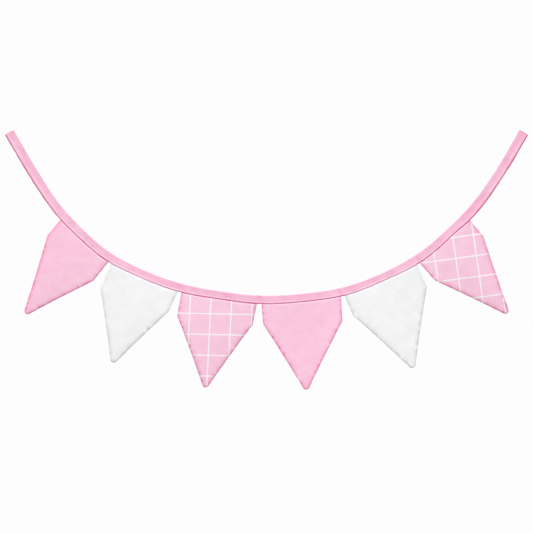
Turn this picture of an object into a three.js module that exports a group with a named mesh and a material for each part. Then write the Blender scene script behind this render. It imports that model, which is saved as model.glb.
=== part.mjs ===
// Hanging fabric bunting: six pointed cotton flags with their raw tops sewn into one folded tape.
// Millimetres, +Z up, +X along the bunting, -Y towards the viewer.
// The origin lies midway between the upper corners of the tape's two ends, by which it is held.
import * as THREE from "three";

const { clamp, degToRad, lerp, smoothstep } = THREE.MathUtils;

// Tape: the front and back leaf are joined by the fold along the upper edge
const LEAF_THICKNESS = 1.0;
const TURNED_EDGE_THICKNESS = 0.3;
const TURNED_EDGE_SHARE = 0.52;
const FOLD_ROUND = 1.6;
const HEM_ROUND = 0.6;
const BARE_HALF_GAP = 0.15;
const SECTION_STEP = 13;

// Flags: two layers sewn and turned, pressed thin at the edge and fuller in the middle
const FLAG_TOP_THICKNESS = 1.4;
const FLAG_EDGE_THICKNESS = 1.2;
const FLAG_FULL_THICKNESS = 2.6;
const EDGE_ROLL = 9;
const RIM_ROUND = 0.6;
const TIP_RADIUS = 6;
const TAPER_DRAW = 0.7;
const SEAM_ALLOWANCE = 10;
const CLEARANCE = 0.3;

// The slot in the tape stays open a little beyond each flag, then closes over a short length
const SLOT_MARGIN = 1.2;
const SLOT_CLOSING = 3;

const COLOURS = { tape: 0xf2b4cf, pink: 0xf8c6dc, white: 0xf2f2f3, check: 0xf7cfe0 };

// The hang of the tape: a row for each station on the folded upper edge, from left to right.
// width is the finished width, sway the depth of the fold and lean the tilt of the lower edge in degrees.
const HANG = [
  { at: "left end", x: -455.5, z: 0, width: 18, sway: 0, lean: 0 },
  { at: "left tie", x: -412, z: -74, width: 17.5, sway: 0, lean: 0 },
  { at: "start of flag 1", x: -372, z: -134, width: 17, sway: -1, lean: 1 },
  { at: "middle of flag 1", x: -322, z: -187, width: 16, sway: -2, lean: 3 },
  { at: "joint 1 to 2", x: -282, z: -220, width: 16, sway: -1, lean: 0 },
  { at: "middle of flag 2", x: -224, z: -251, width: 14.5, sway: 1, lean: -2 },
  { at: "joint 2 to 3", x: -157, z: -275.5, width: 15.5, sway: 1.5, lean: 1 },
  { at: "middle of flag 3", x: -88, z: -289.5, width: 14.5, sway: 0, lean: 3 },
  { at: "joint 3 to 4", x: -10, z: -298, width: 15, sway: -1.5, lean: 1 },
  { at: "middle of flag 4", x: 62, z: -295, width: 14.5, sway: -2, lean: -2 },
  { at: "joint 4 to 5", x: 138, z: -283, width: 15, sway: -1, lean: 0 },
  { at: "middle of flag 5", x: 206, z: -258.5, width: 14, sway: 1.5, lean: 2 },
  { at: "joint 5 to 6", x: 276, z: -220, width: 16, sway: 2, lean: 1 },
  { at: "middle of flag 6", x: 324, z: -179.5, width: 15, sway: 0, lean: -3 },
  { at: "end of flag 6", x: 369, z: -134, width: 17.5, sway: 0, lean: -1 },
  { at: "right tie", x: 412, z: -74, width: 17.5, sway: 0, lean: 0 },
  { at: "right end", x: 455.5, z: 0, width: 18, sway: 0, lean: 0 },
];

// The flags, from left to right. from and to are lengths along the fold, the drops are below the tape.
// flares move a shoulder outwards, tipShift moves the tip to the right of the middle of the top edge.
// swing is the tip's depth, cup the fullness of the middle and curl the turn of the right edge to the back.
const FLAGS = [
  { name: "flag_1", cloth: "pink", from: 179.5, to: 290, leftDrop: 37, leftFlare: -1, rightDrop: 44,
    rightFlare: 2, tipDrop: 168.5, tipShift: 6.5, swing: 3, cup: -1.6, curl: 2 },
  { name: "flag_2", cloth: "white", from: 296, to: 421, leftDrop: 49, leftFlare: 1, rightDrop: 40.5,
    rightFlare: -1, tipDrop: 163, tipShift: 6.5, swing: -2.5, cup: -1.8, curl: -2 },
  { name: "flag_3", cloth: "check", from: 428, to: 562.5, leftDrop: 42, leftFlare: 1.5, rightDrop: 38.5,
    rightFlare: -2, tipDrop: 163, tipShift: -1.5, swing: 3, cup: -1.5, curl: 2 },
  { name: "flag_4", cloth: "pink", from: 570.5, to: 710.5, leftDrop: 36.5, leftFlare: 0.5, rightDrop: 44,
    rightFlare: -1.5, tipDrop: 161, tipShift: -6, swing: -2, cup: 1.8, curl: -1.8 },
  { name: "flag_5", cloth: "white", from: 717, to: 854, leftDrop: 39, leftFlare: 0, rightDrop: 44,
    rightFlare: 1.5, tipDrop: 169, tipShift: -7.5, swing: 2.5, cup: -1.8, curl: 1.8 },
  { name: "flag_6", cloth: "check", from: 860, to: 975, leftDrop: 42, leftFlare: -0.5, rightDrop: 38,
    rightFlare: -0.5, tipDrop: 171, tipShift: 2, swing: -2.5, cup: -1.6, curl: -1.8 },
];

// Shares at which a flag is cut into rows and columns
const SLOT_ROWS = [0, 0.6];
const UPPER_ROWS = [0, 0.06, 0.3, 0.65, 1];
const TAPER_ROWS = [0.12, 0.28, 0.45, 0.62, 0.78, 0.9, 1];
const TIP_ROWS = [0.35, 0.68, 0.94];
const COLUMNS = [0, 0.05, 0.12, 0.24, 0.37, 0.5, 0.63, 0.76, 0.88, 0.95, 1];

// Path of the fold and the lengths along it at which the stations lie
const STEPS_PER_STATION = 100;
const path = new THREE.CatmullRomCurve3(HANG.map((row) => new THREE.Vector3(row.x, 0, row.z)));
path.arcLengthDivisions = STEPS_PER_STATION * (HANG.length - 1);
const tapeLength = path.getLength();
const stationLengths = path.getLengths().filter((_, step) => step % STEPS_PER_STATION === 0);

// Value of one column of the hang table at a length along the fold
function hangAt(column, along) {
  const next = stationLengths.findIndex((length, row) => row > 0 && length >= along);
  const row = next < 0 ? HANG.length - 1 : next;
  const share = smoothstep(along, stationLengths[row - 1], stationLengths[row]);
  return lerp(HANG[row - 1][column], HANG[row][column], share);
}

// Point of the tape at a length along the fold, a drop below it and a depth behind its middle plane
function tapePoint(along, drop, depth) {
  const share = clamp(along / tapeLength, 0, 1);
  const fold = path.getPointAt(share);
  const tangent = path.getTangentAt(share);
  const lean = degToRad(hangAt("lean", along));
  const down = drop * Math.cos(lean) - depth * Math.sin(lean);
  const back = drop * Math.sin(lean) + depth * Math.cos(lean);
  return new THREE.Vector3(
    fold.x + tangent.z * down,
    hangAt("sway", along) + back,
    fold.z - tangent.x * down,
  );
}

// Half of the space between the leaves: room for a flag and a clearance on each face, or nearly closed
function halfGapAt(along) {
  const open = FLAG_TOP_THICKNESS / 2 + CLEARANCE;
  const distances = FLAGS.map((flag) => Math.max(flag.from - along, along - flag.to));
  const beyond = Math.min(...distances) - SLOT_MARGIN;
  return lerp(open, BARE_HALF_GAP, smoothstep(beyond, 0, SLOT_CLOSING));
}

// Section of the tape as drop and depth, round the outside from the front hem to the back, then up the slot
function tapeSection(along) {
  const width = hangAt("width", along);
  const gap = halfGapAt(along);
  const outer = gap + LEAF_THICKNESS;
  const hem = outer + TURNED_EDGE_THICKNESS;
  const step = width * (1 - TURNED_EDGE_SHARE);
  const half = [
    [0.5, 0.6 * outer],
    [FOLD_ROUND, outer],
    [step - 1, outer],
    [step, hem],
    [width - HEM_ROUND, hem],
    [width, gap + LEAF_THICKNESS / 2],
    [width - HEM_ROUND, gap],
    [LEAF_THICKNESS + 0.6, gap],
  ];
  const front = half.map(([drop, depth]) => [drop, -depth]).reverse();
  return [...front, [0, 0], ...half];
}

// Closed solid through rings of points that match one to one; outline is the flat shape of the end rings
function loft(rings, outline) {
  const count = outline.length;
  const positions = rings.flat().flatMap((point) => point.toArray());
  const indices = [];
  for (let ring = 0; ring < rings.length - 1; ring++) {
    for (let i = 0; i < count; i++) {
      const a = ring * count + i;
      const b = ring * count + ((i + 1) % count);
      indices.push(a, a + count, b, b, a + count, b + count);
    }
  }
  const last = (rings.length - 1) * count;
  for (const [a, b, c] of THREE.ShapeUtils.triangulateShape(outline, [])) {
    indices.push(a, b, c);
    indices.push(last + a, last + c, last + b);
  }
  const geometry = new THREE.BufferGeometry();
  geometry.setAttribute("position", new THREE.Float32BufferAttribute(positions, 3));
  geometry.setIndex(indices);
  geometry.computeVertexNormals();
  return geometry;
}

// Lengths at which the tape is cut into sections, with extra ones where the slot closes
function sectionLengths() {
  const marks = [0, tapeLength];
  for (const flag of FLAGS) {
    marks.push(flag.from - SLOT_MARGIN - SLOT_CLOSING, flag.from - SLOT_MARGIN);
    marks.push(flag.to + SLOT_MARGIN, flag.to + SLOT_MARGIN + SLOT_CLOSING);
  }
  marks.sort((a, b) => a - b);
  const lengths = [0];
  for (let i = 1; i < marks.length; i++) {
    const span = marks[i] - marks[i - 1];
    const steps = Math.ceil(span / SECTION_STEP);
    for (let step = 1; step <= steps; step++) {
      lengths.push(marks[i - 1] + (span * step) / steps);
    }
  }
  return lengths;
}

function makeTape() {
  const rings = sectionLengths().map((along) =>
    tapeSection(along).map(([drop, depth]) => tapePoint(along, drop, depth)));
  const outline = tapeSection(0).map(([drop, depth]) => new THREE.Vector2(depth, drop));
  return loft(rings, outline);
}

// Left and right points of each row of a flag below the tape, in its own plane: x along the top, y down.
// The seam draws each tapering side in a little between its shoulder and the tip.
function flagRows(flag, topWidth) {
  const half = topWidth / 2;
  const tipCentre = new THREE.Vector2(flag.tipShift, flag.tipDrop - TIP_RADIUS);
  const edge = (side, drop, flare) => {
    const top = new THREE.Vector2(side * half, 0);
    const shoulder = new THREE.Vector2(side * (half + flare), drop);
    const arm = shoulder.clone().sub(tipCentre);
    const tangentAngle = arm.angle() + side * Math.acos(TIP_RADIUS / arm.length());
    const onTip = (angle) => new THREE.Vector2(Math.cos(angle), Math.sin(angle))
      .multiplyScalar(TIP_RADIUS).add(tipCentre);
    const touch = onTip(tangentAngle);
    const run = touch.clone().sub(shoulder).normalize();
    const inward = new THREE.Vector2(-run.y, run.x).multiplyScalar(side);
    const bottom = side > 0 ? Math.PI * 2.5 : Math.PI / 2;
    return [
      ...UPPER_ROWS.map((share) => top.clone().lerp(shoulder, share)),
      ...TAPER_ROWS.map((share) => shoulder.clone().lerp(touch, share)
        .addScaledVector(inward, TAPER_DRAW * 4 * share * (1 - share))),
      ...TIP_ROWS.map((share) => onTip(lerp(tangentAngle, bottom, share))),
    ];
  };
  const left = edge(-1, flag.leftDrop, flag.leftFlare);
  const right = edge(1, flag.rightDrop, flag.rightFlare);
  return left.map((point, row) => ({ left: point, right: right[row] }));
}

// Ring of points across a flag: rim, front face from left to right, rim, then the back face
function flagRing(place, width, halfThickness) {
  const inset = Math.min(RIM_ROUND, width / 5);
  const offsets = COLUMNS.map((share) => lerp(inset, width - inset, share));
  const front = offsets.map((offset) => place(offset / width, -halfThickness(offset)));
  const back = offsets.map((offset) => place(offset / width, halfThickness(offset))).reverse();
  return [place(0, 0), ...front, place(1, 0), ...back];
}

function makeFlag(flag) {
  const tapeAt = (across, rise, depth) => {
    const along = lerp(flag.from, flag.to, across);
    return tapePoint(along, hangAt("width", along) - rise, depth);
  };
  const start = tapeAt(0, 0, 0);
  const end = tapeAt(1, 0, 0);
  const middle = tapeAt(0.5, 0, 0);
  const topWidth = Math.hypot(end.x - start.x, end.z - start.z);
  const topCentre = start.clone().lerp(end, 0.5);
  const right = new THREE.Vector3(end.x - start.x, 0, end.z - start.z).divideScalar(topWidth);
  const down = new THREE.Vector3(right.z, 0, -right.x);

  // Inside the slot the flag follows the tape
  const slotRings = SLOT_ROWS.map((share) => flagRing(
    (across, depth) => tapeAt(across, SEAM_ALLOWANCE * (1 - share), depth),
    topWidth,
    () => FLAG_TOP_THICKNESS / 2,
  ));

  // Below the tape it hangs free: the bend of its top edge dies out towards the tip
  const freeRings = flagRows(flag, topWidth).map((row) => {
    const width = row.left.distanceTo(row.right);
    const place = (across, depth) => {
      const flat = row.left.clone().lerp(row.right, across);
      const fallen = clamp(flat.y / flag.tipDrop, 0, 1);
      const onTape = tapeAt(across, 0, 0);
      const bend = onTape.clone().sub(start.clone().lerp(end, across));
      const belly = fallen * (1 - fallen) * 4;
      const hang = lerp(onTape.y, middle.y, fallen) + flag.swing * fallen
        + flag.cup * belly * across * (1 - across) * 4
        + flag.curl * belly * (across - 0.5);
      const point = topCentre.clone().addScaledVector(right, flat.x).addScaledVector(down, flat.y);
      point.addScaledVector(bend, (1 - fallen) ** 3);
      point.y = hang + depth;
      return point;
    };
    const halfThickness = (offset) => {
      const fromEdge = Math.min(offset, width - offset);
      const full = lerp(FLAG_EDGE_THICKNESS, FLAG_FULL_THICKNESS, smoothstep(fromEdge, 0, EDGE_ROLL));
      const fromTape = Math.min(row.left.y, row.right.y);
      return lerp(FLAG_TOP_THICKNESS, full, smoothstep(fromTape, 0, 14)) / 2;
    };
    return flagRing(place, width, halfThickness);
  });

  const outline = flagRing((across, depth) => new THREE.Vector2(across * topWidth, depth),
    topWidth, () => FLAG_TOP_THICKNESS / 2);
  return loft([...slotRings, ...freeRings], outline);
}

function piece(name, geometry, colour) {
  const material = new THREE.MeshStandardMaterial({ color: colour, roughness: 0.95 });
  const mesh = new THREE.Mesh(geometry, material);
  mesh.name = name;
  return mesh;
}

const bunting = new THREE.Group();
bunting.name = "fabric_bunting";
bunting.add(piece("binding_tape", makeTape(), COLOURS.tape));
for (const flag of FLAGS) {
  bunting.add(piece(flag.name, makeFlag(flag), COLOURS[flag.cloth]));
}

export default bunting;
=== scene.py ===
"""Dresses a hanging bunting: a folded cotton tape, six sewn flags, a row of stitches and a small studio."""

import math
from collections import namedtuple

import bpy
import numpy as np
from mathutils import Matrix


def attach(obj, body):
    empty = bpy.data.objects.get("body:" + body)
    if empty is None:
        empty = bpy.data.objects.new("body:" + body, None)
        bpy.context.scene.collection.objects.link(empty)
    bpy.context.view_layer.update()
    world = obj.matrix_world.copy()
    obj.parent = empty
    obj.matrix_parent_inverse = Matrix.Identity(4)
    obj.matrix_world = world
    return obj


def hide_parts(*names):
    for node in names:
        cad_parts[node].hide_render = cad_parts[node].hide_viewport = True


bl_info = {
    "name": "Fabric Bunting",
    "version": (1, 0, 0),
    "blender": (4, 5, 0),
    "location": "View3D > Sidebar > Bunting",
    "description": "Sews a hanging bunting of pointed cotton flags on a folded tape",
    "category": "Object",
}

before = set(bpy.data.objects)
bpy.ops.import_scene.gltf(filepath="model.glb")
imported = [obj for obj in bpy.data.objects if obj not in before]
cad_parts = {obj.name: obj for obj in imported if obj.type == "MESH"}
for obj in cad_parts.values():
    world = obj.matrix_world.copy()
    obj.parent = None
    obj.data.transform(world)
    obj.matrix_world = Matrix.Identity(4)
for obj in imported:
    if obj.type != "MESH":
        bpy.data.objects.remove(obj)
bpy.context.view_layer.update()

# Lengths in the tables and in the shape functions are millimetres
MM = 0.001
BODY = "root"
CLOTH_UV = "cloth"
CHECK_UV = "check"
# Colour shares: deeper for seam layers and painted shade, paler for painted highlights, dim for painted
# shade
SHADE = "seam_shade"
LIGHT = "painted_light_and_pale"
DIM = "painted_dim_shade"

# The hang of the tape, as in the part's source: a row for each station on the fold, from left to right.
# tone is the share of rose in its pink there, painted shade set against how the light falls where the tape
# leans.
Station = namedtuple("Station", "x z width sway lean tone")
HANG = (
    Station(-455.5, 0, 18, 0, 0, 0.06),
    Station(-412, -74, 17.5, 0, 0, 0.08),
    Station(-372, -134, 17, -1, 1, 0.05),
    Station(-322, -187, 16, -2, 3, 0.02),
    Station(-282, -220, 16, -1, 0, 0.03),
    Station(-224, -251, 14.5, 1, -2, 0.05),
    Station(-157, -275.5, 15.5, 1.5, 1, 0.105),
    Station(-88, -289.5, 14.5, 0, 3, 0.095),
    Station(-10, -298, 15, -1.5, 1, 0.09),
    Station(62, -295, 14.5, -2, -2, 0.17),
    Station(138, -283, 15, -1, 0, 0.08),
    Station(206, -258.5, 14, 1.5, 2, 0.06),
    Station(276, -220, 16, 2, 1, 0.04),
    Station(324, -179.5, 15, 0, -3, 0.11),
    Station(369, -134, 17.5, 0, -1, 0.13),
    Station(412, -74, 17.5, 0, 0, 0.07),
    Station(455.5, 0, 18, 0, 0, 0.07),
)

# The flags, as in the part's source: lengths along the fold, drops below the tape, and the hang in depth
Flag = namedtuple(
    "Flag",
    "name cloth start end left_drop left_flare right_drop right_flare tip_drop tip_shift swing cup curl",
)
FLAGS = (
    Flag("flag_1", "plain_pink", 179.5, 290, 37, -1, 44, 2, 168.5, 6.5, 3, -1.6, 2),
    Flag("flag_2", "white_cotton", 296, 421, 49, 1, 40.5, -1, 163, 6.5, -2.5, -1.8, -2),
    Flag("flag_3", "pink_check", 428, 562.5, 42, 1.5, 38.5, -2, 163, -1.5, 3, -1.5, 2),
    Flag("flag_4", "plain_pink", 570.5, 710.5, 36.5, 0.5, 44, -1.5, 161, -6, -2, 1.8, -1.8),
    Flag("flag_5", "white_cotton", 717, 854, 39, 0, 44, 1.5, 169, -7.5, 2.5, -1.8, 1.8),
    Flag("flag_6", "pink_check", 860, 975, 42, -0.5, 38, -0.5, 171, 2, -2.5, -1.6, -1.8),
)

# Rounding of a flag's tip and shoulders, how far its tapering edges are drawn in, and its top in the tape
TIP_RADIUS = 6
TAPER_DRAW = 0.7
SHOULDER_ROUND = 1.8
SEAM_ALLOWANCE = 10

# How the check lies on a flag: one crossing in x and z, the rise of the cross lines to the right
# and the lean of the long lines to the right on their way down, in degrees
Check = namedtuple("Check", "cross_x cross_z rise lean")
CHECKS = {
    "flag_3": Check(-103, -368.2, -1.1, -2.8),
    "flag_6": Check(377.3, -226, 7.8, 8.1),
}

# Rows of a flag's mesh from the tape to the tip, whose arcs end just short of its lowest point, the rises of
# the rows inside the tape, and the columns beside each edge and between them
UPPER_ROWS = 26
SHOULDER_ROWS = 7
TAPER_ROWS = 66
TIP_ROWS = 14
TIP_END = 0.97
SLOT_RISES = (10, 6, 2)
EDGE_COLUMNS = (0.12, 0.35, 0.7, 1.2, 1.8, 2.6, 3.6, 4.8, 6.4, 8.5)
INNER_COLUMNS = 46


def linear(hex_colour):
    """Linear colour of an sRGB hex value."""
    channels = [int(hex_colour[i:i + 2], 16) / 255 for i in (1, 3, 5)]
    return tuple(c / 12.92 if c <= 0.04045 else ((c + 0.055) / 1.055) ** 2.4 for c in channels) + (1.0,)


def smooth(value, low, high):
    """Soft step from 0 at low to 1 at high."""
    share = np.clip((value - low) / (high - low), 0, 1)
    return share * share * (3 - 2 * share)


def blend(first, second, share):
    """Value between two others."""
    return first + (second - first) * share


def bulge(share):
    """0 at both ends of a run and 1 at its middle."""
    return 4 * share * (1 - share)


# One slight unevenness of the cloth: how much it adds, how long its waves are and the seed of its draw.
# It is made of a number of waves whose lengths differ from the given one by these factors.
Waver = namedtuple("Waver", "amount length seed")
WAVES = 11
SHORTEST, LONGEST = 0.65, 1.6


def uneven(waver, across, down=0, shift=0):
    """Smooth unevenness at places on the cloth, as crossing waves whose turns and lengths are drawn.

    The draw has a fixed seed, and shift moves it, so that like pieces differ.
    """
    draw = np.random.default_rng(waver.seed + shift)
    total = np.zeros(np.broadcast(across, down).shape)
    for _ in range(WAVES):
        turn = draw.uniform(0, math.tau)
        length = waver.length * draw.uniform(SHORTEST, LONGEST)
        phase = draw.uniform(0, math.tau)
        total += np.sin((across * math.cos(turn) + down * math.sin(turn)) * math.tau / length + phase)
    return waver.amount * total / math.sqrt(WAVES)


# A soft line along an edge: its strength, its distance from the edge and how far it spreads
Line = namedtuple("Line", "strength distance spread")


def soft_line(line, from_edge):
    """Strength of a soft line at each distance from the edge."""
    return line.strength * np.exp(-((from_edge - line.distance) / line.spread) ** 2)


def rounded(from_edge, radius):
    """Share of the full height on an edge that is rounded over a radius."""
    return np.sqrt(np.clip(1 - (1 - np.clip(from_edge / radius, 0, 1)) ** 2, 0, 1))


class HangingTape:
    """The tape's fold as a smooth curve, with the other columns of the hang table along it."""

    RUN_STEPS = 200

    def __init__(self, stations):
        self.stations = stations
        corners = np.array([(station.x, station.z) for station in stations], float)
        guides = np.vstack([2 * corners[0] - corners[1], corners, 2 * corners[-1] - corners[-2]])
        share = np.linspace(0, 1, self.RUN_STEPS, endpoint=False)[:, None]
        runs = [self._run(share, *guides[i:i + 4]) for i in range(len(corners) - 1)]
        self.fold = np.vstack([*runs, corners[-1:]])
        steps = np.linalg.norm(np.diff(self.fold, axis=0), axis=1)
        self.lengths = np.concatenate([[0], np.cumsum(steps)])
        self.length = self.lengths[-1]
        self.station_lengths = self.lengths[::self.RUN_STEPS]
        slopes = np.gradient(self.fold, self.lengths, axis=0)
        self.tangents = slopes / np.linalg.norm(slopes, axis=1)[:, None]

    @staticmethod
    def _run(share, before, start, end, after):
        """Centripetal curve between two stations."""
        spans = ((before, start), (start, end), (end, after))
        first, middle, last = (math.sqrt(np.linalg.norm(b - a)) for a, b in spans)
        leave = (start - before) / first - (end - before) / (first + middle) + (end - start) / middle
        arrive = (end - start) / middle - (after - start) / (middle + last) + (after - end) / last
        leave, arrive = leave * middle, arrive * middle
        bend = 2 * start - 2 * end + leave + arrive
        turn = 3 * end - 3 * start - 2 * leave - arrive
        return start + leave * share + turn * share**2 + bend * share**3

    def value(self, column, along):
        """One column of the hang table at lengths along the fold."""
        last = len(self.stations) - 1
        row = np.clip(np.searchsorted(self.station_lengths, along), 1, last)
        values = np.array([getattr(station, column) for station in self.stations], float)
        share = smooth(along, self.station_lengths[row - 1], self.station_lengths[row])
        return blend(values[row - 1], values[row], share)

    def place(self, along, drop, depth):
        """Points at a length along the fold, a drop below it and a depth behind its middle plane."""
        along, drop, depth = np.broadcast_arrays(along, drop, depth)
        fold_x, fold_z = (np.interp(along, self.lengths, self.fold[:, i]) for i in (0, 1))
        run_x, run_z = (np.interp(along, self.lengths, self.tangents[:, i]) for i in (0, 1))
        lean = np.radians(self.value("lean", along))
        down = drop * np.cos(lean) - depth * np.sin(lean)
        back = drop * np.sin(lean) + depth * np.cos(lean)
        x = fold_x + run_z * down
        z = fold_z - run_x * down
        return np.stack([x, self.value("sway", along) + back, z], axis=-1)


TAPE = HangingTape(HANG)


class BuntingSizes(bpy.types.PropertyGroup):
    """Sizes of the cloth, the sewing and the camera."""

    cloth: bpy.props.FloatProperty(
        name="Cloth", description="Thickness of one layer of cotton", default=0.0004, unit="LENGTH",
        precision=5)
    puff: bpy.props.FloatProperty(
        name="Puff", description="Half thickness of a flag at its middle", default=0.00135, unit="LENGTH",
        precision=5)
    edge_roll: bpy.props.FloatProperty(
        name="Edge roll", description="Width of the rounded edge of a flag", default=0.0034, unit="LENGTH",
        precision=5)
    rumple: bpy.props.FloatProperty(
        name="Rumple", description="Depth of a flag's soft unevenness", default=0.00014, unit="LENGTH",
        precision=5)
    pucker: bpy.props.FloatProperty(
        name="Pucker", description="Depth of the puckers along a sewn edge", default=0.00032, unit="LENGTH",
        precision=5)
    tape_step: bpy.props.FloatProperty(
        name="Tape step", description="Length of one section of the tape", default=0.0015, unit="LENGTH",
        precision=5)
    stitch_pitch: bpy.props.FloatProperty(
        name="Stitch pitch", description="Distance from stitch to stitch", default=0.003, unit="LENGTH",
        precision=5)
    stitch_length: bpy.props.FloatProperty(
        name="Stitch length", description="Length of a stitch that shows", default=0.0023, unit="LENGTH",
        precision=5)
    thread: bpy.props.FloatProperty(
        name="Thread", description="Thickness of the sewing thread", default=0.0004, unit="LENGTH",
        precision=5)
    check_across: bpy.props.FloatProperty(
        name="Check across", description="Distance between the long lines of the check", default=0.0372,
        unit="LENGTH", precision=4)
    check_down: bpy.props.FloatProperty(
        name="Check down", description="Distance between the cross lines of the check", default=0.0375,
        unit="LENGTH", precision=4)
    check_line: bpy.props.FloatProperty(
        name="Check line", description="Width of a line of the check", default=0.0021, unit="LENGTH",
        precision=5)
    view_width: bpy.props.FloatProperty(
        name="View width", description="Width that the camera sees at the bunting", default=0.9594,
        unit="LENGTH")
    view_height: bpy.props.FloatProperty(
        name="View height", description="Height of the camera", default=-0.2458, unit="LENGTH")
    lens: bpy.props.FloatProperty(
        name="Lens", description="Focal length in millimetres", default=100.0)
    floor_height: bpy.props.FloatProperty(
        name="Floor", description="Height of the studio floor", default=-1.5, unit="LENGTH")


class BuntingColours(bpy.types.PropertyGroup):
    """Colours of the cloths and of the studio."""

    tape: bpy.props.FloatVectorProperty(
        name="Tape", description="Binding tape", subtype="COLOR", size=4, default=linear("#EEB9D2"))
    pink: bpy.props.FloatVectorProperty(
        name="Pink", description="Plain pink cotton", subtype="COLOR", size=4, default=linear("#F3C1D8"))
    check: bpy.props.FloatVectorProperty(
        name="Check ground", description="Ground of the checked cotton", subtype="COLOR", size=4,
        default=linear("#F0C4D9"))
    # Rose: the deeper pink of seam layers, and painted shade on the flags' rims and along the tape's lower
    # edge, its gaps, dents and fold
    rose: bpy.props.FloatVectorProperty(
        name="Rose", description="Pink where layers lie on each other at a seam", subtype="COLOR", size=4,
        default=linear("#E15594"))
    # Blush: painted highlights by the tape's lower edge and under the tape on the flags, paler places,
    # clouds of dye and the thread
    blush: bpy.props.FloatVectorProperty(
        name="Blush", description="Pink where pressing has worn it lighter", subtype="COLOR", size=4,
        default=linear("#FFDCEA"))
    plum: bpy.props.FloatVectorProperty(
        name="Plum", description="Pink in the shade of a fold", subtype="COLOR", size=4,
        default=linear("#8A4A68"))
    line: bpy.props.FloatVectorProperty(
        name="Check line", description="Lines of the checked cotton", subtype="COLOR", size=4,
        default=linear("#F1F1F2"))
    white: bpy.props.FloatVectorProperty(
        name="White", description="White cotton", subtype="COLOR", size=4, default=linear("#EBEBEC"))
    # Grey: seam layers of the white cotton, and painted shade on its rims and on the check's lines
    grey: bpy.props.FloatVectorProperty(
        name="Grey", description="White where layers lie on each other at a seam", subtype="COLOR", size=4,
        default=linear("#B9BBC0"))
    studio: bpy.props.FloatVectorProperty(
        name="Surround", description="White surround of the studio", subtype="COLOR", size=4,
        default=linear("#FDFDFD"))
    floor: bpy.props.FloatVectorProperty(
        name="Floor", description="Pale floor of the studio", subtype="COLOR", size=4,
        default=linear("#BBBBBB"))


def add_node(tree, kind, inputs=None, **settings):
    """Adds a node with its settings; an input takes a value or another node's output."""
    made = tree.nodes.new(kind)
    for name, value in settings.items():
        setattr(made, name, value)
    for socket, value in (inputs or {}).items():
        if isinstance(value, bpy.types.NodeSocket):
            tree.links.new(value, made.inputs[socket])
        else:
            made.inputs[socket].default_value = value
    return made


# Plain-woven cotton: matt, a little soft sheen from its nap, with a fine over-and-under relief.
# The thread spacing is really about 0.35 mm and is drawn coarser, so that it shows close up.
THREAD_SPACING = 0.8
SLUB_LENGTH = 9
SLUB_HEIGHT = 0.6
SLUB_SHARE = 0.12
CLOUD_SIZE = 26
CLOUD_SHARE = 0.36

# Colours of one cloth: its ground, a paler one for painted highlights and paler places, a deeper one where
# layers meet at a seam and for painted shade, and a dim one for painted shade
Tints = namedtuple("Tints", "ground pale deep dim")

# The check's lines: their two colours and the share of a step that they take, how far from its middle
# a line starts and stops fading, as shares of its width, and how much of the ground it covers
Windowpane = namedtuple("Windowpane", "white grey share")
CHECK_FADE = (0.38, 0.62)
CHECK_COVER = 0.94


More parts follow.
